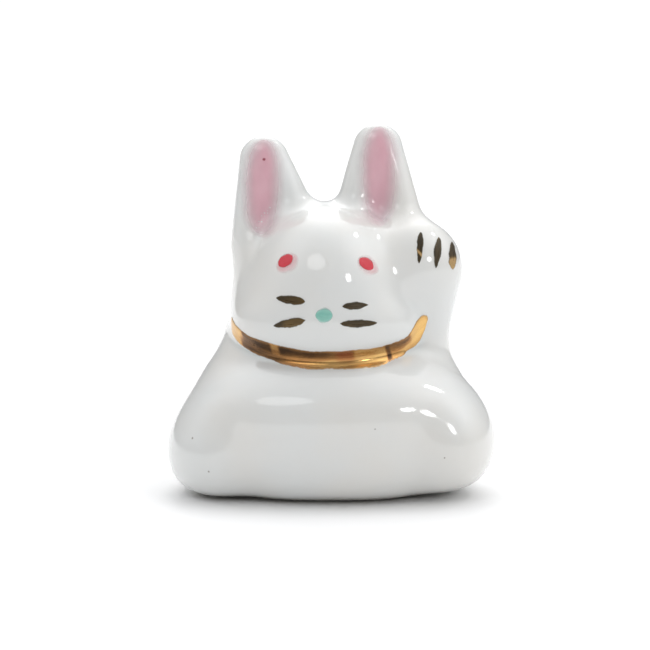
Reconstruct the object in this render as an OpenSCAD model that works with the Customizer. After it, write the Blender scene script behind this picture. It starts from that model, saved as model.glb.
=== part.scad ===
// Small beckoning rabbit in glazed porcelain, with its right-hand paw raised beside the ear.
// One hollow casting carries thirteen thin fired-on marks, each a piece of its own.
// Frame: +Z up, the face looks towards -Y, the raised paw is on the +X side,
// and the origin is the middle of the flat foot that the figurine stands on.

/* [Seat and haunches] */
// Width of the seat between the haunches
seat_w = 22.6; // [20:0.2:28]
// Depth of the seat, front to back
seat_d = 18.4; // [16:0.2:22]
// Height of the seat where the chest rises from it
seat_h = 11.7; // [9.7:0.1:14.1]
// Width of one haunch
haunch_w = 8; // [6.8:0.2:10]
// Length of one haunch, front to back
haunch_l = 11.8; // [9.6:0.2:14]
// Height of one haunch
haunch_h = 8.6; // [7.2:0.2:10.4]

/* [Chest and back] */
// Width of the chest
chest_w = 16.8; // [14:0.2:20.2]
// Depth of the chest
chest_d = 12.8; // [10.6:0.2:15.4]
// Width of the neck and back of the head
neck_w = 14.3; // [11.9:0.1:17.2]
// Depth of the neck and back of the head
neck_d = 10.6; // [8.8:0.2:12.8]

/* [Face] */
// Width of the forehead
brow_w = 10.8; // [9:0.2:13]
// Width of the cheeks
cheek_w = 15.2; // [12.6:0.2:18.4]
// Depth of the face and cheeks
cheek_d = 12.6; // [10.4:0.2:15.2]
// Height of the cheeks
cheek_h = 8.2; // [6.8:0.2:10]

/* [Ears] */
// Length of the ear on the -X side, root to tip centre
ear_l_len = 6.8; // [5:0.1:9]
// Length of the ear on the +X side, root to tip centre
ear_r_len = 7; // [5:0.1:9]
// Width of an ear across its root
ear_root_w = 7.8; // [6.4:0.2:9.4]
// Width of an ear across its tip
ear_tip_w = 4; // [3:0.1:5.6]
// Thickness of an ear as a share of its width
ear_flat = 0.62; // [0.5:0.02:0.8]
// Depth of the hollow down the front of an ear
ear_dish = 0.7; // [0.2:0.1:1]

/* [Raised paw] */
// Width of the paw
paw_w = 8.2; // [6.8:0.2:10]
// Width of the upper arm under the paw
arm_w = 3.6; // [3:0.2:4.6]

/* [Casting] */
// Thickness of the porcelain wall
wall = 2.2; // [1.6:0.1:2.8]
// Diameter of the vent hole through the foot
vent_d = 3.2; // [2:0.1:3.8]
// Radius where the sides turn under to the foot
foot_r = 2.2; // [1.2:0.1:3]

/* [Fired colour] */
// Thickness of the fired colour above the glaze
coat_t = 0.08; // [0.04:0.01:0.2]
// How far the fired colour sinks into the glaze
coat_sink = 0.03; // [0.02:0.01:0.08]
// Width of the gold collar
collar_w = 1.4; // [0.8:0.1:1.8]
// Length of a whisker stroke
whisker_l = 2.4; // [1.6:0.1:3]
// Width of a whisker stroke
whisker_w = 0.7; // [0.4:0.05:0.9]
// Length of a claw stroke
claw_l = 2.3; // [1.6:0.1:2.8]
// Width of a claw stroke
claw_w = 0.6; // [0.4:0.05:0.8]
// Length of an eye
eye_l = 1.2; // [0.8:0.1:1.6]
// Width of an eye
eye_w = 0.85; // [0.6:0.05:1.1]
// Diameter of the nose dot
nose_d = 1.15; // [0.8:0.05:1.5]
// Length of the pink patch in an ear
pink_l = 7; // [4.6:0.2:7.4]
// Width of the pink patch in an ear
pink_w = 3.3; // [2:0.1:3.6]

/* [Mesh] */
// Spacing of the net that the glazed outside is drawn with
skin_step = 0.86; // [0.8:0.02:1.2]
// Spacing of the net that the hollow inside is drawn with
hollow_step = 1.4; // [1.2:0.1:1.8]

/* [Hidden] */

// The forms stack up from the seat, so each height is worked out from the one below it.
// The seat is widest at seat_c, and is squarer than an egg.
seat_above = 5.7;
seat_below = 7.4;
seat_power = 2.65;
seat_c = [-0.1, -0.15, seat_h - seat_above];
haunch_l_c = [2.1 - seat_w / 2, -2, haunch_h / 2 - 0.7];
haunch_r_c = [seat_w / 2 - 2.1, -2.25, haunch_h / 2 + 0.1];
chest_c = [-0.15, 1.35, seat_h - 3.3];
chest_h = 10.8;
neck_c = chest_c + [-0.85, 0.45, 6];
neck_h = 15.8;
cheek_c = neck_c + [0.65, -2.7, -0.45];
brow_c = cheek_c + [-0.05, 0.5, 4.35];
brow_d = 11.6;
brow_h = 9.3;
chin_z = cheek_c.z - 0.95;
crown_rise = 5;
arm_root = [7, 0.7, seat_h - 1.7];
paw_c = [6.4, -0.3, cheek_c.z + 3.95];
arm_flat = 0.85;

// Each ear leans a little, the -X one outwards and both of them back.
ear_l_root = brow_c + [-3.8, 1.55, 1.4];
ear_r_root = brow_c + [4.1, 1.55, 2.1];
ear_l_tip = ear_l_root + ear_l_len * unit([-1.25, 1, 6.7]);
ear_r_tip = ear_r_root + ear_r_len * unit([0.05, 1, 7]);
dish_size = [4.8, 9.2, 13];
dish_drop = 2.6;

// Widths over which neighbouring forms melt into each other
haunch_blend = 2;
chest_blend = 3.5;
neck_blend = 3.3;
arm_blend = 2.2;
face_blend = 3.6;
chin_blend = 0.9;
crown_blend = 2;
ear_blend = 1.2;

// The space that the outside net is stretched over, with room to spare on every side
margin = 1.4;
reach_x = max(haunch_w / 2 - haunch_l_c.x, haunch_r_c.x + haunch_w / 2, paw_c.x + paw_w / 2) + margin;
reach_y = max(seat_d / 2 - seat_c.y, chest_c.y + chest_d / 2, cheek_d / 2 - cheek_c.y) + margin;
reach_z = max(ear_l_tip.z, ear_r_tip.z) + ear_tip_w / 2 + margin;

// The nets run this far past the foot and past the hollow's floor, and are then cut flat.
trim = 0.4;

tiny = 1e-6;

// ---- soft forms: each gives the distance to its surface, less than 0 inside ----

function unit(v) = v / norm(v);

function blend_min(a, b, k) =
    let (h = max(k - abs(a - b), 0) / k)
    min(a, b) - h * h * k / 4;

function blend_max(a, b, k) = -blend_min(-a, -b, k);

function ease(t) =
    let (s = min(max(t, 0), 1))
    s * s * (3 - 2 * s);

// Egg with three different sizes
function egg(p, c, size) =
    let (q = [for (i = [0:2]) 2 * (p[i] - c[i]) / size[i]])
    let (slope = [for (i = [0:2]) 2 * q[i] / size[i]])
    let (s = norm(q) + tiny)
    s * (s - 1) / (norm(slope) + tiny);

// Squarer cushion, where a higher power gives flatter sides
function cushion(p, c, size, power) =
    let (q = [for (i = [0:2]) abs(2 * (p[i] - c[i]) / size[i]) + tiny])
    let (s = pow(pow(q.x, power) + pow(q.y, power) + pow(q.z, power), 1 / power))
    let (slope = [for (i = [0:2]) 2 * pow(q[i] / s, power - 1) / size[i]])
    (s - 1) / norm(slope);

// Round bar between two balls of different radius, flattened front to back
function bar(p, a, b, ra, rb, flat) =
    let (squash = [1, 1 / flat, 1])
    let (pa = [for (i = [0:2]) (p[i] - a[i]) * squash[i]])
    let (ba = [for (i = [0:2]) (b[i] - a[i]) * squash[i]])
    let (l2 = ba * ba, rr = ra - rb, a2 = l2 - rr * rr, y = pa * ba, z = y - l2)
    let (off = pa * l2 - ba * y)
    let (x2 = off * off, y2 = y * y * l2, z2 = z * z * l2, k = sign(rr) * rr * rr * x2)
    let (d = sign(z) * a2 * z2 > k ? sqrt(x2 + z2) / l2 - rb
           : sign(y) * a2 * y2 < k ? sqrt(x2 + y2) / l2 - ra
           : (sqrt(x2 * a2 / l2) + y * rr) / l2 - ra)
    d * sqrt(flat);

// ---- the figurine, form by form ----

function seat(p) =
    let (half_h = p.z > seat_c.z ? seat_above : seat_below)
    let (d = cushion(p, seat_c, [seat_w, seat_d, 2 * half_h], seat_power))
    let (e = blend_min(d, egg(p, haunch_l_c, [haunch_w, haunch_l, haunch_h]), haunch_blend))
    blend_min(e, egg(p, haunch_r_c, [haunch_w, haunch_l, haunch_h]), haunch_blend);

function head(p) =
    let (brow = egg(p, brow_c, [brow_w, brow_d, brow_h]))
    blend_min(brow, egg(p, cheek_c, [cheek_w, cheek_d, cheek_h]), face_blend);

function trunk(p) =
    let (chest = blend_min(seat(p), egg(p, chest_c, [chest_w, chest_d, chest_h]), chest_blend))
    blend_min(chest, egg(p, neck_c, [neck_w, neck_d, neck_h]), neck_blend);

// The crease under the chin is sharp, and the head melts into the nape over the crown.
function with_head(d, p) =
    let (k = chin_blend + (crown_blend - chin_blend) * ease((p.z - chin_z) / crown_rise))
    blend_min(d, head(p), k);

function raised_arm(p) = bar(p, arm_root, paw_c, arm_w / 2, paw_w / 2, arm_flat);

// One ear: a flattened bar with a shallow dish down its front
function ear(p, root, tip, shift) =
    let (mid = (root + tip) / 2)
    let (front = mid.y - ear_flat * (ear_root_w + ear_tip_w) / 4)
    let (dish = [mid.x + shift, front + ear_dish - dish_size.y / 2, tip.z - dish_drop])
    let (blade = bar(p, root, tip, ear_root_w / 2, ear_tip_w / 2, ear_flat))
    blend_max(blade, -egg(p, dish, dish_size), ear_blend);

function figure(p) =
    let (body = blend_min(trunk(p), raised_arm(p), arm_blend))
    let (bust = with_head(body, p))
    let (one = blend_min(bust, ear(p, ear_l_root, ear_l_tip, -0.6), ear_blend))
    let (both = blend_min(one, ear(p, ear_r_root, ear_r_tip, 0), ear_blend))
    blend_max(both, -trim - p.z, foot_r);

// The slip drains from the trunk only: the ears and the paw are thin and stay solid.
function hollow(p) = blend_max(with_head(trunk(p), p) + wall, wall - trim - p.z, foot_r);

// ---- nets: a smooth closed skin drawn where a form's distance is 0 ----

corners = [for (k = [0:1], j = [0:1], i = [0:1]) [i, j, k]];
edges = [for (a = [0:7], b = [0:7]) if (a < b && norm(corners[a] - corners[b]) == 1) [a, b]];
axes = [[1, 0, 0], [0, 1, 0], [0, 0, 1]];
feel = 0.01;

function slope(form, p) = [for (e = axes) (form(p + feel * e) - form(p - feel * e)) / (2 * feel)];

// One step along the slope puts a near point onto the skin.
function settle(form, p) =
    let (g = slope(form, p))
    p - g * form(p) / (g * g);

// Middle of the points where the skin crosses a cell's edges, in cell units
function crossing(v) =
    let (cut = [for (e = edges) if ((v[e[0]] < 0) != (v[e[1]] < 0))
                let (t = v[e[0]] / (v[e[0]] - v[e[1]])) (1 - t) * corners[e[0]] + t * corners[e[1]]])
    len(cut) == 0 ? undef : [for (i = [0:2]) [for (c = cut) c[i]] * [for (c = cut) 1 / len(cut)]];

// The four cells round a grid edge, split along the shorter diagonal
function facets(q, points) =
    norm(points[q[0]] - points[q[2]]) < norm(points[q[1]] - points[q[3]])
        ? [[q[0], q[1], q[2]], [q[0], q[2], q[3]]]
        : [[q[1], q[2], q[3]], [q[1], q[3], q[0]]];

module net(form, low, high, step) {
    n = [for (i = [0:2]) ceil((high[i] - low[i]) / step)];
    stride = [1, n.x, n.x * n.y];
    f = [for (k = [0:n.z]) [for (j = [0:n.y]) [for (i = [0:n.x]) form(low + step * [i, j, k])]]];
    points = [
        for (k = [0:n.z - 1], j = [0:n.y - 1], i = [0:n.x - 1])
            let (at = [i, j, k])
            let (mid = crossing([for (c = corners) f[k + c.z][j + c.y][i + c.x]]))
            is_undef(mid) ? low : settle(form, low + step * (at + mid))
    ];
    faces = [
        for (k = [1:n.z - 1], j = [1:n.y - 1], i = [1:n.x - 1], a = [0:2])
            let (e = axes[a], u = axes[(a + 1) % 3], v = axes[(a + 2) % 3], at = [i, j, k])
            let (here = f[k][j][i] < 0, next = f[k + e.z][j + e.y][i + e.x] < 0)
            if (here != next)
                let (ring = [for (c = [at - u - v, at - v, at, at - u]) c * stride])
                for (t = facets(ring, points)) here ? [t[2], t[1], t[0]] : t
    ];
    polyhedron(points, faces);
}

// ---- fired colour: thin layers laid on the glaze ----

standoff = 16;

// First point of the glaze that a straight line from p along d meets
function land(p, d, turns = 40) = turns == 0 ? p : land(p + 0.8 * figure(p) * d, d, turns - 1);

// aim(u, v) gives the line that each point of the layer is laid along, as [start, direction].
module layer(aim, long, across) {
    cols = across + 1;
    count = (long + 1) * cols;
    feet = [
        for (i = [0:long], j = [0:across])
            let (a = aim(i / long, 2 * j / across - 1))
            land(a[0], a[1])
    ];
    out = [for (p = feet) unit(slope(function (q) figure(q), p))];
    points = concat([for (i = [0:count - 1]) feet[i] + coat_t * out[i]],
                    [for (i = [0:count - 1]) feet[i] - coat_sink * out[i]]);
    rim = concat([for (j = [0:across - 1]) j],
                 [for (i = [0:long - 1]) i * cols + across],
                 [for (j = [across:-1:1]) long * cols + j],
                 [for (i = [long:-1:1]) i * cols]);
    sheet = [for (i = [0:long - 1], j = [0:across - 1]) [i, i, i + 1, i + 1] * cols + [j, j + 1, j + 1, j]];
    top = [for (q = sheet) each facets(q, points)];
    faces = concat(top,
                   [for (t = top) [t[2] + count, t[1] + count, t[0] + count]],
                   [for (s = [0:len(rim) - 1]) let (a = rim[s], b = rim[(s + 1) % len(rim)])
                       each [[b, a, a + count], [b, a + count, b + count]]]);
    polyhedron(points, faces);
}

// A brush stroke seen from the front: middle [x, z], length, width and lean in degrees.
// taper 1 gives an oval, more than 1 a pointed leaf, and less than 1 a squarer patch.
module stroke(c, length, width, lean, taper, long = 12, across = 2) {
    blunt = 14;
    layer(function (u, v)
        let (t = blunt + (180 - 2 * blunt) * u)
        let (s = -length / 2 * cos(t) / cos(blunt), w = v * width / 2 * pow(sin(t), taper))
        let (x = s * cos(lean) - w * sin(lean), z = s * sin(lean) + w * cos(lean))
        [[c[0] + x, -standoff, c[1] + z], [0, 1, 0]], long, across);
}

// ---- pieces ----

// A form's net, cut off flat at height z
module cut_net(form, z, step) {
    depth = 4 * step;
    difference() {
        net(form, [-reach_x, -reach_y, z - 1.5 * step], [reach_x, reach_y, reach_z], step);
        translate([-2 * reach_x, -2 * reach_y, z - depth]) cube([4 * reach_x, 4 * reach_y, depth]);
    }
}

module porcelain_body() {
    color("whitesmoke")
    difference() {
        cut_net(function (p) figure(p), 0, skin_step);
        cut_net(function (p) hollow(p), wall, hollow_step);
        translate([0, 0, -1]) cylinder(d = vent_d, h = wall + 2, $fn = 48);
    }
}

// The collar follows the crease under the chin, and climbs at both ends.
collar_from = 195;
collar_to = 337;
function collar_z(a) =
    chin_z - 1.4 + 1.2 * pow(abs(a - 275) / 62, 2) + (a > 322 ? (a - 322) * 0.07 : 0);

module collar_band() {
    middle = [neck_c.x + 0.5, neck_c.y - 0.75];
    color("goldenrod")
    layer(function (u, v)
        let (a = collar_from + (collar_to - collar_from) * u)
        let (z = collar_z(a) + v * collar_w / 2)
        [[middle.x + standoff * cos(a), middle.y + standoff * sin(a), z], [-cos(a), -sin(a), 0]],
        44, 3);
}

// The patch's upper end is pink_up above the middle of the ear's rounded tip.
pink_up = 1.6;

module ear_pink(root, tip, shift, lean) {
    mid = (root + tip) / 2;
    color("pink")
    stroke([mid.x + shift, tip.z + pink_up - pink_l / 2], pink_l, pink_w, lean, 0.7, 16, 4);
}

module ear_pink_left() ear_pink(ear_l_root, ear_l_tip, -0.7, 88);

module ear_pink_right() ear_pink(ear_r_root, ear_r_tip, 0.1, 90);

module eye(side, lean) {
    color("crimson")
    stroke([brow_c.x + side[0], brow_c.z + side[1]], eye_l, eye_w, lean, 1);
}

module eye_left() eye([-3.2, 1], 38);

module eye_right() eye([3.1, 0.8], -38);

module nose() {
    color("mediumaquamarine")
    stroke([cheek_c.x - 0.25, cheek_c.z + 1.35], nose_d, nose_d, 0, 1);
}

// No two strokes are the same length: share is each one's share of whisker_l.
module whisker(place, lean, share) {
    color("darkgoldenrod")
    stroke([cheek_c.x + place[0], cheek_c.z + place[1]], whisker_l * share, whisker_w, lean, 1.5);
}

module whisker_upper_left() whisker([-2.85, 2.45], -3, 1);

module whisker_lower_left() whisker([-2.95, 0.65], 14, 1.08);

module whisker_upper_right() whisker([2.2, 2.05], 0, 0.9);

module whisker_lower_right() whisker([2.45, 0.65], -2, 1.24);

module claw(place) {
    color("darkgoldenrod")
    stroke([paw_c.x + place[0], paw_c.z + place[1]], claw_l, claw_w, 90, 1.5);
}

module claw_inner() claw([0.6, 2.1]);

module claw_middle() claw([2, 1.7]);

module claw_outer() claw([3.2, 1.3]);

porcelain_body();
collar_band();
ear_pink_left();
ear_pink_right();
eye_left();
eye_right();
nose();
whisker_upper_left();
whisker_lower_left();
whisker_upper_right();
whisker_lower_right();
claw_inner();
claw_middle();
claw_outer();
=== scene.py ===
import math

import bpy
import numpy as np
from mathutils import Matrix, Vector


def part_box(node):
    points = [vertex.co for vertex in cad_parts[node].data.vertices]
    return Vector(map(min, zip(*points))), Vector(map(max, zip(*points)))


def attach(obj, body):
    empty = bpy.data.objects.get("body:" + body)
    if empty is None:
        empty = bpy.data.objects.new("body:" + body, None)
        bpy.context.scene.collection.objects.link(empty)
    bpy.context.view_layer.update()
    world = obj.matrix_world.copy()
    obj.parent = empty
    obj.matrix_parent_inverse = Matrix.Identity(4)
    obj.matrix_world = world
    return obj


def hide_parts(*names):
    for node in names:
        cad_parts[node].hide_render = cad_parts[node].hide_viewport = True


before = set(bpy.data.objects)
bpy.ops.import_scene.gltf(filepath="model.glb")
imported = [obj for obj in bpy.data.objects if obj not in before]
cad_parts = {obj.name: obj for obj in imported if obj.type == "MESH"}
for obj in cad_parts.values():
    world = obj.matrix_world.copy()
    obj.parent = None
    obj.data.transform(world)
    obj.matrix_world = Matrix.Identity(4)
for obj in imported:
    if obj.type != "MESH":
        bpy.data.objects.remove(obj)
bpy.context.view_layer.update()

import openvdb
from mathutils import Vector

scene = bpy.context.scene
mm = 0.001

bodyLow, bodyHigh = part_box("porcelain_body")
bodySize = bodyHigh - bodyLow
middle = (bodyLow + bodyHigh) / 2
print("frame loaded, figurine is", [round(s / mm, 2) for s in bodySize], "mm")


# camera, floor and lamps

# rise in degrees, the rest in metres
view = dict(rise=10, distance=0.3, widthSeen=0.0523, aside=-0.00052, below=-0.0013)

camera = bpy.data.objects.new("camera", bpy.data.cameras.new("camera"))
scene.collection.objects.link(camera)
rise = math.radians(view["rise"])
back = Vector((0, -math.cos(rise), math.sin(rise)))
up = Vector((0, math.sin(rise), math.cos(rise)))
aim = Vector((0, 0, middle.z)) + Vector((view["aside"], 0, 0)) + up * view["below"]
camera.location = aim + back * view["distance"]
camera.rotation_euler = (math.pi / 2 - rise, 0, 0)
camera.data.lens = camera.data.sensor_width * view["distance"] / view["widthSeen"]
camera.data.clip_start = 0.01
scene.camera = camera
scene.view_settings.view_transform = "Standard"


def softbox(name, turn, rise, distance, size, glow, long=1.0):
    lamp = bpy.data.lights.new(name, "AREA")
    lamp.shape = "ELLIPSE"
    lamp.size = size
    lamp.size_y = size * long
    area = size * size * long * math.pi / 4
    lamp.energy = glow * math.pi * area      # the same brightness whatever the size
    lampObject = bpy.data.objects.new(name, lamp)
    a, e = math.radians(turn), math.radians(rise)
    out = Vector((math.sin(a) * math.cos(e), -math.cos(a) * math.cos(e), math.sin(e)))
    target = Vector((0, 0, middle.z))
    lampObject.location = target + out * distance
    lampObject.rotation_euler = (-out).to_track_quat("-Z", "Y").to_euler()
    scene.collection.objects.link(lampObject)


# turn is measured from the front towards the raised paw, rise from level, both in degrees
lamps = [dict(name="frontLeft", turn=-24, rise=44, distance=0.42, size=0.21, glow=1.8, long=0.8),
         dict(name="frontSpot", turn=38, rise=21, distance=0.36, size=0.06, glow=12),
         dict(name="sideSpot", turn=112, rise=53, distance=0.36, size=0.05, glow=12, long=0.7),
         dict(name="backSpot", turn=-166, rise=34, distance=0.4, size=0.06, glow=10, long=0.6)]
for oneLamp in lamps:
    softbox(**oneLamp)


def skyLobe(tree, turn, rise, tightness, glow):
    # a soft-edged glow on the studio's white cloth, round one direction
    a, e = math.radians(turn), math.radians(rise)
    across = tree.nodes.new("ShaderNodeVectorMath")
    across.operation = "DOT_PRODUCT"
    across.inputs[1].default_value = (math.sin(a) * math.cos(e), -math.cos(a) * math.cos(e), math.sin(e))
    tree.links.new(tree.nodes["Texture Coordinate"].outputs["Generated"], across.inputs[0])
    last = across.outputs["Value"]
    for operation, value in (("MAXIMUM", 0.0), ("POWER", tightness), ("MULTIPLY", glow)):
        step = tree.nodes.new("ShaderNodeMath")
        step.operation = operation
        step.inputs[1].default_value = value
        tree.links.new(last, step.inputs[0])
        last = step.outputs[0]
    return last


world = bpy.data.worlds.new("studioTent")
world.use_nodes = True
tent = world.node_tree
tent.nodes.new("ShaderNodeTexCoord")
tentLook = dict(least=0.32, tint=(0.985, 0.99, 1.0, 1))
glows = [dict(turn=0, rise=90, tightness=12, glow=0.5), dict(turn=180, rise=58, tightness=10, glow=2.2),
         dict(turn=180, rise=35, tightness=14, glow=0.9), dict(turn=-90, rise=45, tightness=8, glow=1.15),
         dict(turn=90, rise=45, tightness=8, glow=1.8)]
allGlows = None
for glow in glows:
    lobe = skyLobe(tent, **glow)
    if allGlows is not None:
        both = tent.nodes.new("ShaderNodeMath")
        tent.links.new(allGlows, both.inputs[0])
        tent.links.new(lobe, both.inputs[1])
        lobe = both.outputs[0]
    allGlows = lobe
least = tent.nodes.new("ShaderNodeMath")
least.inputs[1].default_value = tentLook["least"]
tent.links.new(allGlows, least.inputs[0])
tent.links.new(least.outputs[0], tent.nodes["Background"].inputs["Strength"])
tent.nodes["Background"].inputs["Color"].default_value = tentLook["tint"]
scene.world = world

floorHalf = 1.5
floorMesh = bpy.data.meshes.new("floor")
floorMesh.from_pydata([(-floorHalf, -floorHalf, 0), (floorHalf, -floorHalf, 0),
                       (floorHalf, floorHalf, 0), (-floorHalf, floorHalf, 0)], [], [(0, 1, 2, 3)])
floor = bpy.data.objects.new("floor", floorMesh)
scene.collection.objects.link(floor)
print("camera, lamps and floor set")


# soft forms: each gives the distance to its surface in mm, less than 0 inside

def softMin(a, b, k):
    h = np.maximum(k - np.abs(a - b), 0) / k
    return np.minimum(a, b) - h * h * k / 4


def softMax(a, b, k):
    return -softMin(-a, -b, k)


def ease(t):
    t = np.clip(t, 0, 1)
    return t * t * (3 - 2 * t)


def egg(p, centre, size):
    half = np.array(size) / 2
    q = (p - np.array(centre)) / half
    s = np.linalg.norm(q, axis=-1) + 1e-6
    return s * (s - 1) / (np.linalg.norm(q / half, axis=-1) + 1e-6)


def cushion(p, centre, size, below, power):
    q = p - np.array(centre)
    half = np.array(size) / 2
    halfHeight = np.where(q[..., 2] > 0, half[2], below)
    q = np.abs(np.stack([q[..., 0] / half[0], q[..., 1] / half[1], q[..., 2] / halfHeight], -1)) + 1e-6
    s = (q ** power).sum(-1) ** (1 / power)
    slope = (q / s[..., None]) ** (power - 1)
    slope[..., 0] /= half[0]
    slope[..., 1] /= half[1]
    slope[..., 2] /= halfHeight
    return (s - 1) / np.linalg.norm(slope, axis=-1)


def bar(p, start, end, wideStart, wideEnd, flat):
    # a round bar between two balls of different width, flattened front to back
    squash = np.array([1, 1 / flat, 1])
    pa = (p - np.array(start)) * squash
    ba = (np.array(end) - np.array(start)) * squash
    ra, rb = wideStart / 2, wideEnd / 2
    l2 = ba @ ba
    a2 = l2 - (ra - rb) ** 2
    y = pa @ ba
    z = y - l2
    x2 = ((pa * l2 - ba * y[..., None]) ** 2).sum(-1)
    k = np.sign(ra - rb) * (ra - rb) ** 2 * x2
    nearEnd = np.sqrt(x2 + z * z * l2) / l2 - rb
    nearStart = np.sqrt(x2 + y * y * l2) / l2 - ra
    between = (np.sqrt(x2 * a2 / l2) + y * (ra - rb)) / l2 - ra
    d = np.where(np.sign(z) * a2 * z * z * l2 > k, nearEnd,
                 np.where(np.sign(y) * a2 * y * y * l2 < k, nearStart, between))
    return d * math.sqrt(flat)


# the figurine's form, with the sizes that the CAD part is drawn from, in mm; only the three fuller
# spots, where the real one bulges a little more, are extra

form = dict(
    seat=dict(centre=(-0.1, -0.15, 6.0), size=(22.6, 18.4, 11.4), below=7.4, power=2.65),
    haunches=[(-9.2, -2.0, 3.6), (9.2, -2.25, 4.4)], haunchSize=(8, 11.8, 8.6), haunchBlend=2.0,
    chest=dict(centre=(-0.15, 1.35, 8.4), size=(16.8, 12.8, 10.8)), chestBlend=3.5,
    neck=dict(centre=(-1.0, 1.8, 14.4), size=(14.3, 10.6, 15.8)), neckBlend=3.3,
    arm=dict(start=(7, 0.7, 10.0), end=(6.4, -0.3, 17.9), wideStart=3.6, wideEnd=8.2, flat=0.85),
    armBlend=2.2,
    brow=dict(centre=(-0.4, -0.4, 18.3), size=(10.8, 11.6, 9.3)),
    cheeks=dict(centre=(-0.35, -0.9, 13.95), size=(15.2, 12.6, 8.2)), faceBlend=3.6,
    chinBlend=0.9, crownBlend=2.0, chinHeight=13.0, crownRise=5,
    ears=[dict(root=(-4.2, 1.15, 19.7), lean=(-1.25, 1, 6.7), long=6.8, dishShift=-0.6),
          dict(root=(3.7, 1.15, 20.4), lean=(0.05, 1, 7), long=7.0, dishShift=0)],
    earRoot=7.8, earTip=4.0, earFlat=0.62, dishSize=(4.8, 9.2, 13), dishDeep=0.7, dishDrop=2.6,
    earBlend=1.2,
    fuller=[dict(centre=(-0.4, -6.5, 18.1), high=0.22, spread=(4.5, 3.0, 2.4)),
            dict(centre=(9.4, -6.4, 7.6), high=0.25, spread=(2.6, 2.6, 2.6)),
            dict(centre=(-9.6, -6.2, 7.2), high=0.2, spread=(2.6, 2.6, 2.6))],
    footBlend=2.2, footTrim=0.4, footArris=0.25,
    wall=2.2, hollowBlend=1.2, wallBlend=0.3, vent=3.2, ventArris=0.35)


def trunk(p):
    d = cushion(p, **form["seat"])
    for centre in form["haunches"]:
        d = softMin(d, egg(p, centre, form["haunchSize"]), form["haunchBlend"])
    d = softMin(d, egg(p, **form["chest"]), form["chestBlend"])
    return softMin(d, egg(p, **form["neck"]), form["neckBlend"])


def withHead(d, p):
    # sharp crease under the chin, soft over the crown
    head = softMin(egg(p, **form["brow"]), egg(p, **form["cheeks"]), form["faceBlend"])
    k = form["chinBlend"] + (form["crownBlend"] - form["chinBlend"]) * ease(
        (p[..., 2] - form["chinHeight"]) / form["crownRise"])
    return softMin(d, head, k)


def ear(p, root, lean, long, dishShift):
    root, lean = np.array(root), np.array(lean)
    tip = root + long * lean / np.linalg.norm(lean)
    mid = (root + tip) / 2
    flat, size = form["earFlat"], form["dishSize"]
    front = mid[1] - flat * (form["earRoot"] + form["earTip"]) / 4
    dish = (mid[0] + dishShift, front + form["dishDeep"] - size[1] / 2, tip[2] - form["dishDrop"])
    blade = bar(p, root, tip, form["earRoot"], form["earTip"], flat)
    return softMax(blade, -egg(p, dish, size), form["earBlend"])


def handMade(p):
    # the faint wander of a hand-finished casting, a few hundredths of a mm
    x, y, z = p[..., 0], p[..., 1], p[..., 2]
    return 0.025 * np.sin(0.42 * x + 0.26 * z + 1.3) * np.sin(0.4 * z - 0.3 * y + 0.4)


def fullness(p, centre, high, spread):
    # a little extra roundness, high mm proud at centre and gone within twice the spread
    q = (p - np.array(centre)) / np.array(spread)
    return high * np.exp(-(q * q).sum(-1))


def figure(p):
    d = softMin(trunk(p), bar(p, **form["arm"]), form["armBlend"])
    d = withHead(d, p)
    for oneEar in form["ears"]:
        d = softMin(d, ear(p, **oneEar), form["earBlend"])
    for extra in form["fuller"]:
        d = d - fullness(p, **extra)
    return softMax(d, -form["footTrim"] - p[..., 2], form["footBlend"]) + handMade(p)


def casting(p):
    # the glazed outside, less the hollow that the slip drained from and the vent in the foot
    x, y, z = p[..., 0], p[..., 1], p[..., 2]
    outside = softMax(figure(p), -z, form["footArris"])
    hollow = softMax(withHead(trunk(p), p) + form["wall"], form["wall"] - z, form["hollowBlend"])
    vent = np.maximum(np.hypot(x, y) - form["vent"] / 2, z - form["wall"] - 1)
    solid = softMax(outside, -hollow, form["wallBlend"])
    return softMax(solid, -vent, form["ventArris"])


def slopeOf(field, p, feel=0.02):
    g = np.empty_like(p)
    for axis in range(3):
        step = np.zeros(3)
        step[axis] = feel
        g[..., axis] = (field(p + step) - field(p - step)) / (2 * feel)
    return g


def settle(field, p, turns=2):
    for _ in range(turns):
        g = slopeOf(field, p)
        p = p - g * (field(p) / np.maximum((g * g).sum(-1), 1e-3))[..., None]
    return p


def unit(v):
    return v / np.linalg.norm(v, axis=-1, keepdims=True)


def land(p, direction, reach, turns=60, pace=0.8):
    # the first point of the glaze that a straight line from p along direction meets, within reach
    gone = np.zeros(p.shape[:-1])
    for _ in range(turns):
        gone = np.minimum(gone + pace * figure(p + gone[..., None] * direction), reach)
    return p + gone[..., None] * direction


def meshObject(name, points, faces, normals=None):
    mesh = bpy.data.meshes.new(name)
    mesh.from_pydata((np.asarray(points) * mm).tolist(), [], [tuple(int(i) for i in f) for f in faces])
    mesh.validate()
    mesh.shade_smooth()
    if normals is not None:
        mesh.normals_split_custom_set_from_vertices(np.asarray(normals).tolist())
    piece = bpy.data.objects.new(name, mesh)
    scene.collection.objects.link(piece)
    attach(piece, "root")
    return piece


def paintValues(piece, name, values):
    painted = piece.data.attributes.new(name, "FLOAT", "POINT")
    painted.data.foreach_set("value", np.asarray(values, np.float32))


def readValues(piece, name):
    return np.array([item.value for item in piece.data.attributes[name].data])


# porcelain body

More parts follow.
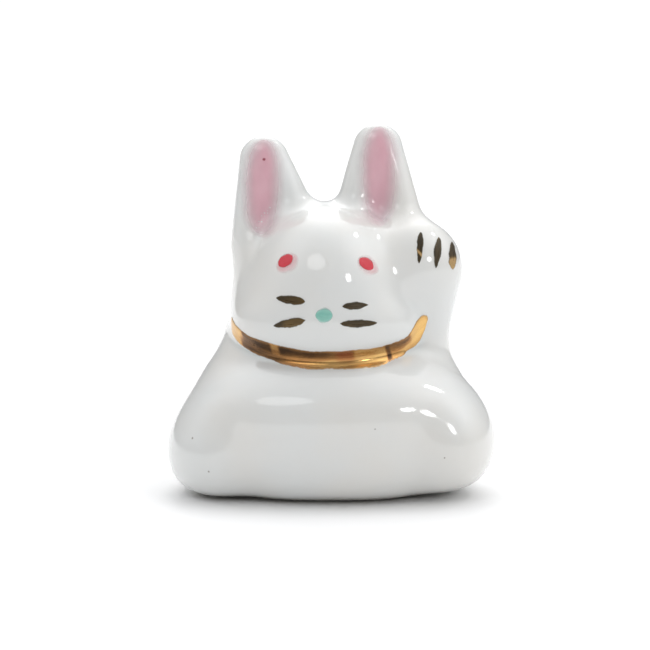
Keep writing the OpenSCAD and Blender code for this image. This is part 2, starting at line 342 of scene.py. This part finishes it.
netStep = 0.22         # mm between the points of the net
margin = 1.2
low = np.array(bodyLow) / mm - margin
high = np.array(bodyHigh) / mm + margin
count = np.ceil((high - low) / netStep).astype(int) + 1
axes = [low[i] + netStep * np.arange(count[i]) for i in range(3)]
field = np.empty(count, np.float32)
for i, x in enumerate(axes[0]):           # slice by slice, to keep the arrays small
    yy, zz = np.meshgrid(axes[1], axes[2], indexing="ij")
    field[i] = casting(np.stack([np.full_like(yy, x), yy, zz], -1))
volume = openvdb.FloatGrid()
volume.copyFromArray(field)
netPoints, netQuads = volume.convertToQuads(0.0)
points = settle(casting, low + netPoints.astype(float) * netStep, 3)
outward = unit(slopeOf(casting, points))
print("porcelain net:", len(points), "points,", len(netQuads), "quads")

body = meshObject("porcelain", points, netQuads, outward)
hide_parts("porcelain_body")

# how hollow or how ridged the surface is there: glaze pools in creases and thins over ridges
feelOut = 0.7
here = figure(points)
bend = figure(points + feelOut * outward) + figure(points - feelOut * outward) - 2 * here
around = sum(figure(points + feelOut * d) + figure(points - feelOut * d) for d in np.eye(3))
crease = (6 * here - around + bend) / (feelOut * feelOut)
paintValues(body, "crease", np.clip(0.5 + 0.5 * crease, 0, 1))
# the glaze stops short of the foot, and the inside is bare
bareEdge = dict(height=0.45, depth=0.25, fade=0.3, facingDown=-0.35)
onFoot = ease((bareEdge["height"] - points[:, 2]) / bareEdge["fade"])
inside = ease((-here - bareEdge["depth"]) / bareEdge["fade"])
onFoot = onFoot * (outward[:, 2] < bareEdge["facingDown"])
paintValues(body, "bare", np.clip(np.maximum(onFoot, inside), 0, 1))


# fired colour, laid on the glaze along lines that start this far in front of the figure, in mm
clear = 4


def closedLayer(name, aim, rows, columns, thick, sink=0.03, edge=0.35):
    # aim(u, v) gives start points, their direction and how far they go; u runs 0 to 1 along the
    # stroke and v runs -1 to 1 across it
    u, v = np.meshgrid(np.linspace(0, 1, rows), np.linspace(-1, 1, columns), indexing="ij")
    start, direction, reach = aim(u, v)
    feet = settle(figure, land(start, direction, reach), 4)
    out = unit(slopeOf(figure, feet))
    rim = np.minimum(1 - np.abs(v), np.minimum(u, 1 - u) * rows / columns)
    crown = np.sqrt(np.clip(1 - (1 - np.clip(rim / edge, 0, 1)) ** 2, 0, 1))
    top = feet + out * (thick * crown - sink * (1 - crown))[..., None]
    bottom = feet - out * sink
    grid = np.arange(rows * columns).reshape(rows, columns)
    quads = np.stack([grid[:-1, :-1], grid[1:, :-1], grid[1:, 1:], grid[:-1, 1:]], -1).reshape(-1, 4)
    total = rows * columns
    edges = np.concatenate([grid[0, :-1], grid[:-1, -1], grid[-1, :0:-1], grid[:0:-1, 0]])
    after = np.roll(edges, -1)
    side = np.stack([edges, after, after + total, edges + total], -1)
    # the rim of the top sheet is lifted off the bottom a hair, so that no face has no area
    lift = 0.004
    top = np.where(np.linalg.norm(top - bottom, axis=-1, keepdims=True) < lift, bottom + out * lift, top)
    points = np.concatenate([top.reshape(-1, 3), bottom.reshape(-1, 3)])
    faces = np.concatenate([quads, quads[:, ::-1] + total, side])
    piece = meshObject(name, points, faces)
    for label, values in (("along", u), ("across", v)):
        paintValues(piece, label, np.concatenate([values.ravel(), values.ravel()]))
    piece.visible_shadow = False       # it is fused to the glaze, so it throws no shade on it
    return piece


def strokeAim(nodeName, long, wide, lean, taper, wobble, seed, kite=0.0, spill=(0, 0)):
    # a brush stroke seen from the front: an oval at taper 1, a pointed leaf above it
    strokeLow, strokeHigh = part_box(nodeName)
    centre = (strokeLow + strokeHigh) / 2 / mm + Vector((spill[0], 0, spill[1]))
    turn = math.radians(lean)
    blunt = math.radians(4)

    def aim(u, v):
        t = blunt + (math.pi - 2 * blunt) * u
        s = -long / 2 * np.cos(t) / math.cos(blunt)
        shake = wobble * (np.sin(9 * u + seed) + 0.6 * np.sin(23 * u + 2.3 * seed + 1.7 * np.sign(v)))
        half = wide / 2 * np.sin(t) ** taper * (1 + kite * np.cos(t))    # kite: fuller towards one end
        w = v * (half + shake * np.sin(t))
        x = centre.x + s * math.cos(turn) - w * math.sin(turn)
        z = centre.z + s * math.sin(turn) + w * math.cos(turn)
        front = bodyLow.y / mm - clear
        # lines that pass the figure by stop level with the back of the mark
        return (np.stack([x, np.full_like(x, front), z], -1), np.array([0.0, 1.0, 0.0]),
                strokeHigh.y / mm - front)
    return aim


# node groups that several finishes share

def newGroup(name, inputs, outputs):
    tree = bpy.data.node_groups.new(name, "ShaderNodeTree")
    for label, kind, value in inputs:
        socket = tree.interface.new_socket(label, in_out="INPUT", socket_type=kind)
        if value is not None:
            socket.default_value = value
    for label, kind in outputs:
        tree.interface.new_socket(label, in_out="OUTPUT", socket_type=kind)
    return tree, tree.nodes.new("NodeGroupInput"), tree.nodes.new("NodeGroupOutput")


def feed(tree, socket, value):
    if isinstance(value, bpy.types.NodeSocket):
        tree.links.new(value, socket)
    else:
        socket.default_value = value


def node(tree, kind, values=None, **settings):
    made = tree.nodes.new(kind)
    for key, value in settings.items():
        setattr(made, key, value)
    for key, value in (values or {}).items():
        feed(tree, made.inputs[key], value)
    return made


def maths(tree, operation, a, b=0.0, clamp=False):
    return node(tree, "ShaderNodeMath", {0: a, 1: b}, operation=operation, use_clamp=clamp).outputs[0]


def band(tree, value, low, high, smooth=True):
    return node(tree, "ShaderNodeMapRange", {"Value": value, "From Min": low, "From Max": high},
                interpolation_type="SMOOTHSTEP" if smooth else "LINEAR").outputs[0]


def scaled(tree, value, times, plus):
    made = node(tree, "ShaderNodeMath", {0: value, 1: times, 2: plus}, operation="MULTIPLY_ADD")
    return made.outputs[0]


def mixColour(tree, mask, a, b):
    return node(tree, "ShaderNodeMix", {0: mask, 6: a, 7: b}, data_type="RGBA").outputs[2]


def noise(tree, vector, scale, detail=3, rough=0.5):
    return node(tree, "ShaderNodeTexNoise", {"Vector": vector, "Scale": scale, "Detail": detail,
                                             "Roughness": rough}).outputs["Fac"]


def attribute(tree, name):
    return node(tree, "ShaderNodeAttribute", attribute_name=name).outputs["Fac"]


def buildGlazeSkin():
    # the slow ripple of a fired glaze, its pinholes, and its patchy gloss
    tree, inside, outside = newGroup(
        "glazeSkin",
        [("Vector", "NodeSocketVector", None), ("Ripple Scale", "NodeSocketFloat", 400.0)],
        [("Height", "NodeSocketFloat"), ("Gloss Change", "NodeSocketFloat"),
         ("Pinhole", "NodeSocketFloat")])
    where = inside.outputs["Vector"]
    slow = noise(tree, where, inside.outputs["Ripple Scale"], 2, 0.4)
    fine = noise(tree, where, maths(tree, "MULTIPLY", inside.outputs["Ripple Scale"], 6.0), 2, 0.5)
    pits = node(tree, "ShaderNodeTexVoronoi", {"Vector": where, "Scale": 420.0, "Randomness": 1.0})
    rare = node(tree, "ShaderNodeSeparateColor", {0: pits.outputs["Color"]}).outputs[0]
    dot = maths(tree, "SUBTRACT", 1.0, band(tree, pits.outputs["Distance"], 0.035, 0.075))
    few = band(tree, rare, 0.955, 0.96, False)
    hole = maths(tree, "MULTIPLY", dot, few)
    height = maths(tree, "ADD", slow, maths(tree, "MULTIPLY", fine, 0.06))
    tree.links.new(maths(tree, "SUBTRACT", height, maths(tree, "MULTIPLY", hole, 0.4)),
                   outside.inputs["Height"])
    tree.links.new(band(tree, fine, 0.3, 0.8), outside.inputs["Gloss Change"])
    tree.links.new(hole, outside.inputs["Pinhole"])
    return tree


def buildBrushwork():
    # streaks that the hairs of a brush leave along a stroke, and where the colour lies thin
    tree, inside, outside = newGroup(
        "brushwork",
        [("Along", "NodeSocketFloat", 0.5), ("Across", "NodeSocketFloat", 0.0),
         ("Length", "NodeSocketFloat", 3.0), ("Hairs", "NodeSocketFloat", 6.0),
         ("Seed", "NodeSocketFloat", 0.0)],
        [("Streak", "NodeSocketFloat"), ("Patch", "NodeSocketFloat")])
    along = maths(tree, "MULTIPLY", inside.outputs["Along"], inside.outputs["Length"])
    across = maths(tree, "MULTIPLY", inside.outputs["Across"], inside.outputs["Hairs"])
    streakAt = node(tree, "ShaderNodeCombineXYZ", {0: along, 1: across, 2: inside.outputs["Seed"]})
    patchAt = node(tree, "ShaderNodeCombineXYZ",
                   {0: maths(tree, "MULTIPLY", along, 1.4), 1: inside.outputs["Across"],
                    2: inside.outputs["Seed"]})
    tree.links.new(noise(tree, streakAt.outputs[0], 1.0, 4, 0.6), outside.inputs["Streak"])
    tree.links.new(noise(tree, patchAt.outputs[0], 1.0, 3, 0.5), outside.inputs["Patch"])
    return tree


def buildSoftEdge():
    # 1 in the middle of a stroke, fading to 0 at its edges, with a wandering line between
    tree, inside, outside = newGroup(
        "softEdge",
        [("Along", "NodeSocketFloat", 0.5), ("Across", "NodeSocketFloat", 0.0),
         ("Vector", "NodeSocketVector", None), ("Wander", "NodeSocketFloat", 0.2),
         ("Wander Scale", "NodeSocketFloat", 900.0), ("End Squareness", "NodeSocketFloat", 4.0),
         ("Start", "NodeSocketFloat", 0.5), ("End", "NodeSocketFloat", 1.0)],
        [("Mask", "NodeSocketFloat"), ("Radius", "NodeSocketFloat")])
    fromMiddle = scaled(tree, inside.outputs["Along"], 2.0, -1.0)
    ends = maths(tree, "POWER", maths(tree, "ABSOLUTE", fromMiddle), inside.outputs["End Squareness"])
    sides = maths(tree, "POWER", maths(tree, "ABSOLUTE", inside.outputs["Across"]), 2.0)
    radius = maths(tree, "SQRT", maths(tree, "ADD", ends, sides))
    wander = noise(tree, inside.outputs["Vector"], inside.outputs["Wander Scale"], 3, 0.6)
    stray = maths(tree, "SUBTRACT", wander, 0.5)
    radius = maths(tree, "ADD", radius, maths(tree, "MULTIPLY", stray, inside.outputs["Wander"]))
    fade = band(tree, radius, inside.outputs["Start"], inside.outputs["End"])
    tree.links.new(maths(tree, "SUBTRACT", 1.0, fade), outside.inputs["Mask"])
    tree.links.new(radius, outside.inputs["Radius"])
    return tree


def buildSpeck():
    # one speck of iron that came up through the glaze
    tree, inside, outside = newGroup(
        "speck",
        [("Vector", "NodeSocketVector", None), ("Centre", "NodeSocketVector", None),
         ("Size", "NodeSocketFloat", 0.0001)],
        [("Mask", "NodeSocketFloat")])
    far = node(tree, "ShaderNodeVectorMath", {0: inside.outputs["Vector"], 1: inside.outputs["Centre"]},
               operation="DISTANCE").outputs["Value"]
    rough = maths(tree, "MULTIPLY", noise(tree, inside.outputs["Vector"], 9000.0, 2, 0.5), 0.8)
    ragged = maths(tree, "MULTIPLY", far, maths(tree, "ADD", rough, 0.6))
    share = maths(tree, "DIVIDE", ragged, inside.outputs["Size"])
    tree.links.new(maths(tree, "SUBTRACT", 1.0, band(tree, share, 0.5, 1.2)), outside.inputs["Mask"])
    return tree


glazeSkin = buildGlazeSkin()
speck = buildSpeck()
brushwork = buildBrushwork()
softEdge = buildSoftEdge()


def newMaterial(name):
    material = bpy.data.materials.new(name)
    material.use_nodes = True
    tree = material.node_tree
    return material, tree, tree.nodes["Principled BSDF"], node(tree, "ShaderNodeTexCoord").outputs["Object"]


def groupNode(tree, group, values):
    return node(tree, "ShaderNodeGroup", values, node_tree=group)


def bump(tree, height, distance):
    return node(tree, "ShaderNodeBump", {"Height": height, "Distance": distance}).outputs[0]


# each speck is seen from the front at x and z, in mm
speckPlaces = [dict(x=-5.4, z=26.6, size=0.13), dict(x=-11.0, z=5.4, size=0.10),
               dict(x=-9.7, z=2.9, size=0.09), dict(x=8.9, z=4.1, size=0.07),
               dict(x=3.4, z=6.6, size=0.06)]
speckStarts = np.array([(spot["x"], bodyLow.y / mm - clear, spot["z"]) for spot in speckPlaces])
speckFeet = land(speckStarts, np.array([0.0, 1.0, 0.0]), bodySize.y / mm) * mm


def specks(tree, where):
    every = None
    for spot, foot in zip(speckPlaces, speckFeet):
        made = groupNode(tree, speck, {"Vector": where, "Centre": foot.tolist(), "Size": spot["size"] * mm})
        mask = made.outputs["Mask"]
        every = mask if every is None else maths(tree, "MAXIMUM", every, mask)
    return every


# porcelain

porcelainLook = dict(white=(0.70, 0.71, 0.70, 1), pooled=(0.64, 0.67, 0.66, 1), warm=(0.71, 0.70, 0.67, 1),
                     biscuit=(0.74, 0.71, 0.66, 1), biscuitDark=(0.6, 0.56, 0.5, 1),
                     speck=(0.20, 0.17, 0.14, 1), speckStrength=0.75,
                     gloss=0.06, glossSpread=0.05, biscuitRough=0.85, coatRough=0.06,
                     rippleScale=230.0, rippleDeep=0.00005, cloudScale=110.0,
                     grainScale=6000.0, grainDeep=0.00006)


def porcelainMaterial():
    look = porcelainLook
    material, tree, shader, where = newMaterial("glazedPorcelain")
    skin = groupNode(tree, glazeSkin, {"Vector": where, "Ripple Scale": look["rippleScale"]})
    crease = attribute(tree, "crease")
    bare = attribute(tree, "bare")
    cloud = noise(tree, where, look["cloudScale"])
    colour = mixColour(tree, band(tree, cloud, 0.35, 0.7), look["white"], look["warm"])
    colour = mixColour(tree, band(tree, crease, 0.55, 0.95), colour, look["pooled"])
    grain = noise(tree, where, look["grainScale"], 3, 0.7)
    biscuit = mixColour(tree, grain, look["biscuit"], look["biscuitDark"])
    colour = mixColour(tree, bare, colour, biscuit)
    marked = maths(tree, "MAXIMUM", skin.outputs["Pinhole"], specks(tree, where))
    marked = maths(tree, "MULTIPLY", marked, look["speckStrength"])
    colour = mixColour(tree, marked, colour, look["speck"])
    tree.links.new(colour, shader.inputs["Base Color"])
    glossy = scaled(tree, skin.outputs["Gloss Change"], look["glossSpread"], look["gloss"])
    rough = node(tree, "ShaderNodeMix", {0: bare, 2: glossy, 3: look["biscuitRough"]})
    tree.links.new(rough.outputs[0], shader.inputs["Roughness"])
    coat = maths(tree, "SUBTRACT", 1.0, bare, True)
    tree.links.new(coat, shader.inputs["Coat Weight"])
    shader.inputs["Coat Roughness"].default_value = look["coatRough"]
    shader.inputs["Coat IOR"].default_value = 1.48
    shader.inputs["IOR"].default_value = 1.45
    shader.inputs["Specular IOR Level"].default_value = 0.3
    shader.inputs["Subsurface Weight"].default_value = 0.12
    shader.inputs["Subsurface Radius"].default_value = (1.0, 0.92, 0.85)
    shader.inputs["Subsurface Scale"].default_value = 0.0012
    ripple = bump(tree, skin.outputs["Height"], look["rippleDeep"])
    sand = node(tree, "ShaderNodeBump", {"Height": maths(tree, "MULTIPLY", grain, bare),
                                         "Distance": look["grainDeep"], "Normal": ripple})
    tree.links.new(sand.outputs[0], shader.inputs["Normal"])
    return material


body.data.materials.append(porcelainMaterial())


# enamels, all with the same skin
enamelSkin = dict(rippleScale=700.0, glossSpread=0.08, coatRough=0.06, ridge=0.00002)


def enamelMaterial(name, look):
    # glossy fired enamel that thins towards its edges, where the glaze shows through
    material, tree, shader, where = newMaterial(name)
    along, across = attribute(tree, "along"), attribute(tree, "across")
    edge = groupNode(tree, softEdge, {"Along": along, "Across": across, "Vector": where,
                                      "Wander": look["wander"], "Start": look["solid"],
                                      "End": look["faded"]})
    brush = groupNode(tree, brushwork, {"Along": along, "Across": across, "Length": look["long"],
                                        "Hairs": look["hairs"], "Seed": look["seed"]})
    skin = groupNode(tree, glazeSkin, {"Vector": where, "Ripple Scale": enamelSkin["rippleScale"]})
    shade = maths(tree, "MULTIPLY", band(tree, brush.outputs["Streak"], 0.3, 0.7), look["flow"])
    strong = mixColour(tree, shade, look["core"], look["thin"])
    inner = band(tree, edge.outputs["Radius"], look["solid"] * 0.8, look["faded"])
    colour = mixColour(tree, inner, strong, look["rim"])
    # the far end of the stroke, where the brush had less colour left
    spent = maths(tree, "MULTIPLY", band(tree, along, 0.45, 1.0), look["spent"])
    colour = mixColour(tree, spent, colour, look["thin"])
    colour = mixColour(tree, specks(tree, where), colour, look["speck"])
    tree.links.new(colour, shader.inputs["Base Color"])
    patchy = maths(tree, "MULTIPLY", band(tree, brush.outputs["Patch"], 0.35, 0.75), look["patchy"])
    full = maths(tree, "SUBTRACT", look["cover"], patchy)
    cover = maths(tree, "MULTIPLY", edge.outputs["Mask"], full, True)
    tree.links.new(cover, shader.inputs["Alpha"])
    glossy = scaled(tree, skin.outputs["Gloss Change"], enamelSkin["glossSpread"], look["gloss"])
    tree.links.new(glossy, shader.inputs["Roughness"])
    shader.inputs["Coat Weight"].default_value = look["coat"]
    shader.inputs["Coat Roughness"].default_value = enamelSkin["coatRough"]
    height = maths(tree, "ADD", maths(tree, "MULTIPLY", brush.outputs["Streak"], 0.6),
                   skin.outputs["Height"])
    tree.links.new(bump(tree, height, enamelSkin["ridge"]), shader.inputs["Normal"])
    return material


redLook = enamelMaterial("redEnamel", dict(
    core=(0.54, 0.006, 0.014, 1), thin=(0.62, 0.04, 0.08, 1), rim=(0.44, 0.015, 0.03, 1), wander=0.30,
    solid=0.62, faded=0.86, long=2.0, hairs=2.0, seed=2.0, flow=0.6, spent=0.35, patchy=0.1, cover=1.1,
    gloss=0.12, coat=0.2, speck=(0.30, 0.05, 0.08, 1)))
haloLook = enamelMaterial("redHalo", dict(
    core=(0.76, 0.28, 0.32, 1), thin=(0.76, 0.36, 0.40, 1), rim=(0.74, 0.42, 0.45, 1), wander=0.35,
    solid=0.25, faded=0.95, long=1.5, hairs=1.5, seed=4.0, flow=0.4, spent=0.0, patchy=0.2, cover=0.4,
    gloss=0.10, coat=0.8, speck=(0.30, 0.05, 0.08, 1)))
greenLook = enamelMaterial("greenEnamel", dict(
    core=(0.19, 0.46, 0.385, 1), thin=(0.29, 0.56, 0.48, 1), rim=(0.36, 0.60, 0.54, 1), wander=0.25,
    solid=0.55, faded=0.95, long=1.5, hairs=1.5, seed=5.0, flow=0.7, spent=0.2, patchy=0.1, cover=1.05,
    gloss=0.10, coat=0.7, speck=(0.30, 0.05, 0.08, 1)))
pinkLook = enamelMaterial("pinkEnamel", dict(
    core=(0.70, 0.36, 0.425, 1), thin=(0.74, 0.55, 0.59, 1), rim=(0.74, 0.60, 0.63, 1), wander=0.12,
    solid=0.12, faded=0.97, long=1.6, hairs=0.9, seed=8.0, flow=0.35, spent=0.6, patchy=0.12, cover=0.96,
    gloss=0.13, coat=0.5, speck=(0.30, 0.05, 0.08, 1)))

eyeSize = dict(long=1.4, wide=1.02, thick=0.05, haloLong=2.1, haloWide=1.65, haloThick=0.02)
eyes = [dict(name="eyeLeft", node="eye_left", lean=38, seed=1.0, spill=(0.12, -0.16)),
        dict(name="eyeRight", node="eye_right", lean=-38, seed=4.0, spill=(0.16, -0.12))]
for eye in eyes:
    # a thin bleed of red round the dot, more of it below
    aimLine = strokeAim(eye["node"], eyeSize["haloLong"], eyeSize["haloWide"], eye["lean"], 1.0,
                        0.02, eye["seed"], spill=eye["spill"])
    halo = closedLayer(eye["name"] + "Bleed", aimLine, 41, 25, eyeSize["haloThick"], sink=0.02)
    halo.data.materials.append(haloLook)
    aimLine = strokeAim(eye["node"], eyeSize["long"], eyeSize["wide"], eye["lean"], 1.0, 0.02, eye["seed"])
    piece = closedLayer(eye["name"], aimLine, 41, 25, eyeSize["thick"])
    piece.data.materials.append(redLook)
    for part in (piece, halo):
        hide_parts(eye["node"])

noseDot = dict(long=1.38, wide=1.38, thick=0.05)
piece = closedLayer("noseDot", strokeAim("nose", noseDot["long"], noseDot["wide"], 0, 1.0, 0.02, 3.0),
                    41, 25, noseDot["thick"])
piece.data.materials.append(greenLook)
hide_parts("nose")

pinkPatch = dict(long=8.0, wide=4.3, taper=0.62, thick=0.008, sink=0.012)
earPinks = [dict(name="earPinkLeft", node="ear_pink_left", lean=-92),
            dict(name="earPinkRight", node="ear_pink_right", lean=-90)]
for patch in earPinks:
    aimLine = strokeAim(patch["node"], pinkPatch["long"], pinkPatch["wide"], patch["lean"],
                        pinkPatch["taper"], 0.0, 2.0)
    piece = closedLayer(patch["name"], aimLine, 90, 41, pinkPatch["thick"], pinkPatch["sink"], 0.2)
    piece.data.materials.append(pinkLook)
    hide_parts(patch["node"])
print("enamels laid")


# gold and dark lustre
lustreSkin = dict(rippleScale=900.0, wanderScale=2600.0)


def lustreMaterial(name, look):
    # a film of fired gold: bright where it lies thick, brown and olive where the brush left it thin; the
    # dark attribute also paints reflections into the colour, near black for the dark room and bright gold
    # for the lamps
    material, tree, shader, where = newMaterial(name)
    along, across = attribute(tree, "along"), attribute(tree, "across")
    dark, rusty = attribute(tree, "dark"), attribute(tree, "rusty")
    brush = groupNode(tree, brushwork, {"Along": along, "Across": across, "Length": look["long"],
                                        "Hairs": look["hairs"], "Seed": look["seed"]})
    edge = groupNode(tree, softEdge, {"Along": along, "Across": across, "Vector": where,
                                      "Wander": look["wander"], "Wander Scale": lustreSkin["wanderScale"],
                                      "End Squareness": look["square"],
                                      "Start": look["solid"], "End": look["faded"]})
    skin = groupNode(tree, glazeSkin, {"Vector": where, "Ripple Scale": lustreSkin["rippleScale"]})
    stray = maths(tree, "SUBTRACT", brush.outputs["Streak"], 0.5)
    blot = maths(tree, "SUBTRACT", brush.outputs["Patch"], 0.5)
    # how dark the gold is painted: thin lustre together with painted reflection of the dark room and
    # painted bright lamp reflections
    depth = maths(tree, "ADD", dark, maths(tree, "MULTIPLY", stray, look["streaky"]))
    depth = maths(tree, "ADD", depth, maths(tree, "MULTIPLY", blot, look["blotchy"]), True)
    colour = mixColour(tree, band(tree, depth, 0.0, 0.5, False), look["bright"], look["brown"])
    colour = mixColour(tree, band(tree, depth, 0.5, 1.0, False), colour, look["deep"])
    colour = mixColour(tree, maths(tree, "MULTIPLY", rusty, 0.6), colour, look["rust"])
    rim = maths(tree, "MULTIPLY", band(tree, edge.outputs["Radius"], look["solid"] * 0.7, look["faded"]),
                look["rimShare"])
    colour = mixColour(tree, rim, colour, look["rim"])
    tree.links.new(colour, shader.inputs["Base Color"])
    tree.links.new(edge.outputs["Mask"], shader.inputs["Alpha"])
    shader.inputs["Metallic"].default_value = look["metal"]
    uneven = scaled(tree, brush.outputs["Streak"], look["roughSpread"], look["rough"])
    tree.links.new(uneven, shader.inputs["Roughness"])
    height = maths(tree, "ADD", brush.outputs["Streak"],
                   maths(tree, "MULTIPLY", skin.outputs["Height"], 0.3))
    tree.links.new(bump(tree, height, look["ridge"]), shader.inputs["Normal"])
    return material


goldLook = lustreMaterial("goldLustre", dict(
    bright=(0.79, 0.50, 0.18, 1), brown=(0.42, 0.20, 0.065, 1), deep=(0.075, 0.04, 0.02, 1),
    rust=(0.30, 0.07, 0.035, 1), rim=(0.34, 0.19, 0.09, 1), rimShare=0.55, long=7.0, hairs=2.2, seed=1.0,
    streaky=0.45, blotchy=0.5, wander=0.25, square=70.0, solid=0.86, faded=0.97, metal=0.85, rough=0.13,
    roughSpread=0.16, ridge=0.000016))
darkLook = lustreMaterial("darkLustre", dict(
    bright=(0.52, 0.34, 0.15, 1), brown=(0.135, 0.085, 0.032, 1), deep=(0.032, 0.027, 0.018, 1),
    rust=(0.2, 0.07, 0.05, 1), rim=(0.16, 0.135, 0.085, 1), rimShare=0.5, long=2.5, hairs=2.0, seed=7.0,
    streaky=0.4, blotchy=0.45, wander=0.5, square=4.0, solid=0.66, faded=0.9, metal=0.6, rough=0.2,
    roughSpread=0.2, ridge=0.000012))


def follow(steps, at):
    # straight lines between (place, value) steps
    places, values = zip(*steps)
    return np.interp(at, places, values)


# dark tells how dark the colour is painted from one end of the stroke to the other, 0 gold to 1 near black:
# thin lustre together with painted reflection of the dark room
whiskers = [dict(name="whiskerUpperLeft", node="whisker_upper_left", lean=-3, long=2.35, wide=0.88,
                 seed=0.4, kite=-0.15, dark=[(0, 0.95), (0.35, 0.85), (0.6, 0.7), (1, 0.45)]),
            dict(name="whiskerLowerLeft", node="whisker_lower_left", lean=14, long=2.65, wide=0.84,
                 seed=1.9, kite=-0.1, dark=[(0, 1), (0.32, 0.9), (0.45, 0.6), (1, 0.5)]),
            dict(name="whiskerUpperRight", node="whisker_upper_right", lean=0, long=2.1, wide=0.7,
                 seed=3.1, kite=0.25, dark=[(0, 0.9), (0.5, 0.95), (1, 0.8)]),
            dict(name="whiskerLowerRight", node="whisker_lower_right", lean=-2, long=3.0, wide=0.76,
                 seed=4.8, kite=0.0, dark=[(0, 0.85), (0.5, 0.9), (1, 0.75)])]
claws = [dict(name="clawInner", node="claw_inner", lean=86, long=2.4, wide=0.64, seed=0.9, kite=-0.2,
              dark=[(0, 0.9), (1, 0.95)], line=0.4),
         dict(name="clawMiddle", node="claw_middle", lean=83, long=2.4, wide=0.7, seed=2.6, kite=-0.1,
              dark=[(0, 0.95), (0.8, 0.9), (1, 0.6)]),
         dict(name="clawOuter", node="claw_outer", lean=92, long=2.1, wide=0.8, seed=5.2, kite=0.1,
              dark=[(0, 0), (0.42, 0.05), (0.52, 0.85), (1, 0.8)])]
strokeThick = 0.03
for stroke in whiskers + claws:
    aimLine = strokeAim(stroke["node"], stroke["long"], stroke["wide"], stroke["lean"], 1.2, 0.03,
                        stroke["seed"], kite=stroke["kite"])
    piece = closedLayer(stroke["name"], aimLine, 61, 15, strokeThick)
    along, across = readValues(piece, "along"), readValues(piece, "across")
    dark = follow(stroke["dark"], along)
    if "line" in stroke:        # a slanting gold line, where the brush crossed its own edge
        dark = dark - 1.2 * np.exp(-((along - stroke["line"] - 0.07 * across) / 0.04) ** 2)
    # painted reflection: the dark room mirrored in the strokes, put into their colour
    paintValues(piece, "dark", dark)
    paintValues(piece, "rusty", np.zeros(len(dark)))
    piece.data.materials.append(darkLook)
    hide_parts(stroke["node"])

# the band runs from start to end in degrees round the centre, found along lines from a ring outside
collar = dict(start=195, end=337, centre=(-0.5, 1.05), ring=16, wide=1.6, thick=0.035,
              lowest=275, drop=1.4, rise=1.2, spread=62, chin=13.0,
              climbFrom=322, climb=0.07, broader=0.6, broadensOver=10,
              # how dark the gold is painted along the upper and the lower edge, by x in mm: thin lustre at
              # the ends, painted reflection between, near black for the dark room and low for bright lamp
              # reflections
              upper=[(-8.0, 0.15), (-7.15, 0.2), (-6.95, 0.95), (-4.8, 0.95), (-4.65, 0.3), (-4.2, 0.3),
                     (-4.0, 0.95), (-1.5, 0.9), (0.6, 0.75), (1.8, 0.6), (2.0, 0.3), (4.3, 0.3), (4.4, 1),
                     (4.62, 1), (4.75, 0.75), (6.3, 0.75), (6.45, 0.12), (8.0, 0.1)],
              lower=[(-8.0, 0.15), (-7.35, 0.2), (-7.15, 0.95), (-4.4, 0.9), (-3.5, 0.6), (-1.5, 0.3),
                     (1.8, 0.15), (4.3, 0.15), (4.4, 0.95), (4.62, 0.95), (4.75, 0.3), (6.3, 0.2),
                     (6.45, 0.12), (8.0, 0.1)],
              rust=[(0.2, 0), (0.7, 1), (1.6, 1), (1.9, 0)])


def collarHeight(a):
    climb = np.clip(a - collar["climbFrom"], 0, None) * collar["climb"]
    fromLowest = np.abs(a - collar["lowest"]) / collar["spread"]
    return collar["chin"] - collar["drop"] + collar["rise"] * fromLowest ** 2 + climb


def collarAim(u, v):
    a = collar["start"] + (collar["end"] - collar["start"]) * u
    roundEnd = np.sqrt(np.clip(1 - (1 - np.clip(np.minimum(u, 1 - u) / 0.03, 0, 1)) ** 2, 0.02, 1))
    shake = 0.04 * np.sin(21 * u + 1.1 * np.sign(v)) + 0.02 * np.sin(47 * u + 2.0 * np.sign(v))
    # taller where it climbs, so that it stays as wide across
    steep = 1 + collar["broader"] * ease((a - collar["climbFrom"]) / collar["broadensOver"])
    z = collarHeight(a) + v * (collar["wide"] / 2 * steep + shake) * roundEnd
    rad = np.radians(a)
    x = collar["centre"][0] + collar["ring"] * np.cos(rad)
    y = collar["centre"][1] + collar["ring"] * np.sin(rad)
    inwards = np.stack([-np.cos(rad), -np.sin(rad), np.zeros_like(rad)], -1)
    return np.stack([x, y, z], -1), inwards, collar["ring"]


piece = closedLayer("collar", collarAim, 221, 21, collar["thick"])
across = readValues(piece, "across")
sideways = np.array([v.co.x for v in piece.data.vertices]) / mm
slanted = sideways + 0.18 * across
fromLower = ease(0.5 + 0.75 * across)
# painted reflection with thin lustre: dark where the gold mirrored the dark room, bright where it mirrored
# a lamp
paintValues(piece, "dark", follow(collar["lower"], slanted) * (1 - fromLower)
            + follow(collar["upper"], slanted) * fromLower)
paintValues(piece, "rusty", follow(collar["rust"], slanted) * fromLower)
piece.data.materials.append(goldLook)
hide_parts("collar_band")
print("lustre laid")


floorLook = dict(pale=(0.90, 0.90, 0.90, 1), paler=(0.93, 0.93, 0.93, 1), cloudScale=40.0, rough=0.6,
                 shine=0.1)


def floorMaterial():
    material, tree, shader, where = newMaterial("paleFloor")
    cloud = noise(tree, where, floorLook["cloudScale"], 2, 0.5)
    tree.links.new(mixColour(tree, cloud, floorLook["pale"], floorLook["paler"]),
                   shader.inputs["Base Color"])
    shader.inputs["Roughness"].default_value = floorLook["rough"]
    shader.inputs["Specular IOR Level"].default_value = floorLook["shine"]
    return material


floor.data.materials.append(floorMaterial())
